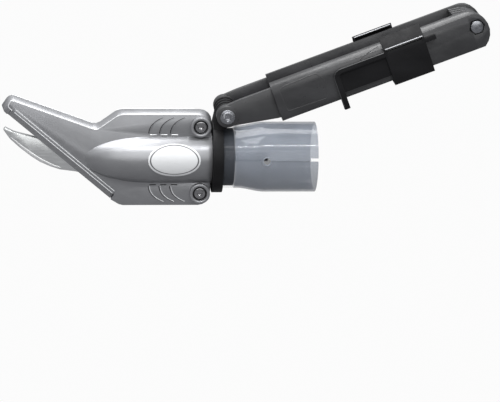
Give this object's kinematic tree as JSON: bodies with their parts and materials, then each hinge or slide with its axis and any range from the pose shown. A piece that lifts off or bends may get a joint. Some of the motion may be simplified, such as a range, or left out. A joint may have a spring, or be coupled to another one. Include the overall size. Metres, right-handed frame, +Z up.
{
  "type": "drill-powered shear head",
  "caption": "Shear head driven by a drill: slanted jaw of side blades over a moving centre blade, domed casing, flexible sleeve and a telescoping strap arm.",
  "frame": {"origin": "centre of the hex shank's end face, on the drive axis", "axes": "+X out of the shank towards the drill, +Z up through the arm's hinge, -Y the side with the nameplate"},
  "size_m": [0.3809, 0.057, 0.1595],
  "materials": {
    "cast_silver": "satin",
    "blade_steel": "ground",
    "ground_steel": "blasted",
    "bearing_steel": "polished",
    "black_oxide": "satin",
    "zinc": "satin",
    "bronze": "satin",
    "black_nylon": "satin",
    "smoke_vinyl": "gloss",
    "black_rubber": "matte",
    "label_grey": "satin"
  },
  "bodies": {
    "head": {"near_casing": "cast_silver", "far_casing": "cast_silver", "near_side_blade": "ground_steel", "far_side_blade": "ground_steel", "front_blade_dowel": "bearing_steel", "rear_blade_dowel": "bearing_steel", "pivot_pin": "bearing_steel", "upper_casing_screw": "black_oxide", "lower_casing_screw": "black_oxide", "upper_casing_nut": "zinc", "lower_casing_nut": "zinc", "nameplate": "label_grey", "neck_housing": "black_nylon", "front_outer_race": "bearing_steel", "rear_outer_race": "bearing_steel", "bearing_circlip": "black_oxide", "shaft_seal": "black_rubber", "sleeve": "smoke_vinyl"},
    "drive": {"drive_shaft": "bearing_steel", "crank_roller": "bearing_steel", "crank_clip": "black_oxide", "front_inner_race": "bearing_steel", "rear_inner_race": "bearing_steel", "front_ball_cage": "bearing_steel", "rear_ball_cage": "bearing_steel", "bearing_spacer": "bearing_steel"},
    "blade": {"centre_blade": "blade_steel", "pivot_bush": "bronze"},
    "collar": {"clamp_ring": "black_nylon"},
    "tongues": {"near_tongue": "black_nylon", "far_tongue": "black_nylon", "hinge_bolt": "zinc", "hinge_nut": "zinc", "near_hinge_washer": "zinc", "far_hinge_washer": "zinc"},
    "shells": {"near_arm_shell": "black_nylon", "far_arm_shell": "black_nylon", "end_spacer": "black_nylon", "end_bolt": "zinc", "end_nut": "zinc"},
    "near_guide": {"near_strap_guide": "black_nylon"},
    "far_guide": {"far_strap_guide": "black_nylon"}
  },
  "joints": [
    {"name": "drive_spin", "type": "hinge", "parent": "head", "child": "drive", "pos_m": [0, 0, 0], "axis": [1, 0, 0], "continuous": true},
    {"name": "blade_swing", "type": "hinge", "parent": "head", "child": "blade", "pos_m": [-0.118, 0, -0.006], "axis": [0, 1, 0], "range_deg": [0, 9.6]},
    {"name": "collar_swivel", "type": "hinge", "parent": "head", "child": "collar", "pos_m": [-0.041, 0, 0], "axis": [1, 0, 0], "continuous": true},
    {"name": "arm_tilt", "type": "hinge", "parent": "collar", "child": "tongues", "pos_m": [-0.0344, 0, 0.0379], "axis": [0, -1, 0], "range_deg": [-10, 150]},
    {"name": "arm_slide", "type": "slide", "parent": "tongues", "child": "shells", "axis": [0.9336, 0, 0.3584], "range_m": [-0.03, 0.045]},
    {"name": "near_guide_slide", "type": "slide", "parent": "shells", "child": "near_guide", "axis": [0.9336, 0, 0.3584], "range_m": [-0.045, 0.025]},
    {"name": "far_guide_slide", "type": "slide", "parent": "shells", "child": "far_guide", "axis": [0.9336, 0, 0.3584], "range_m": [-0.028, 0.042]}
  ]
}
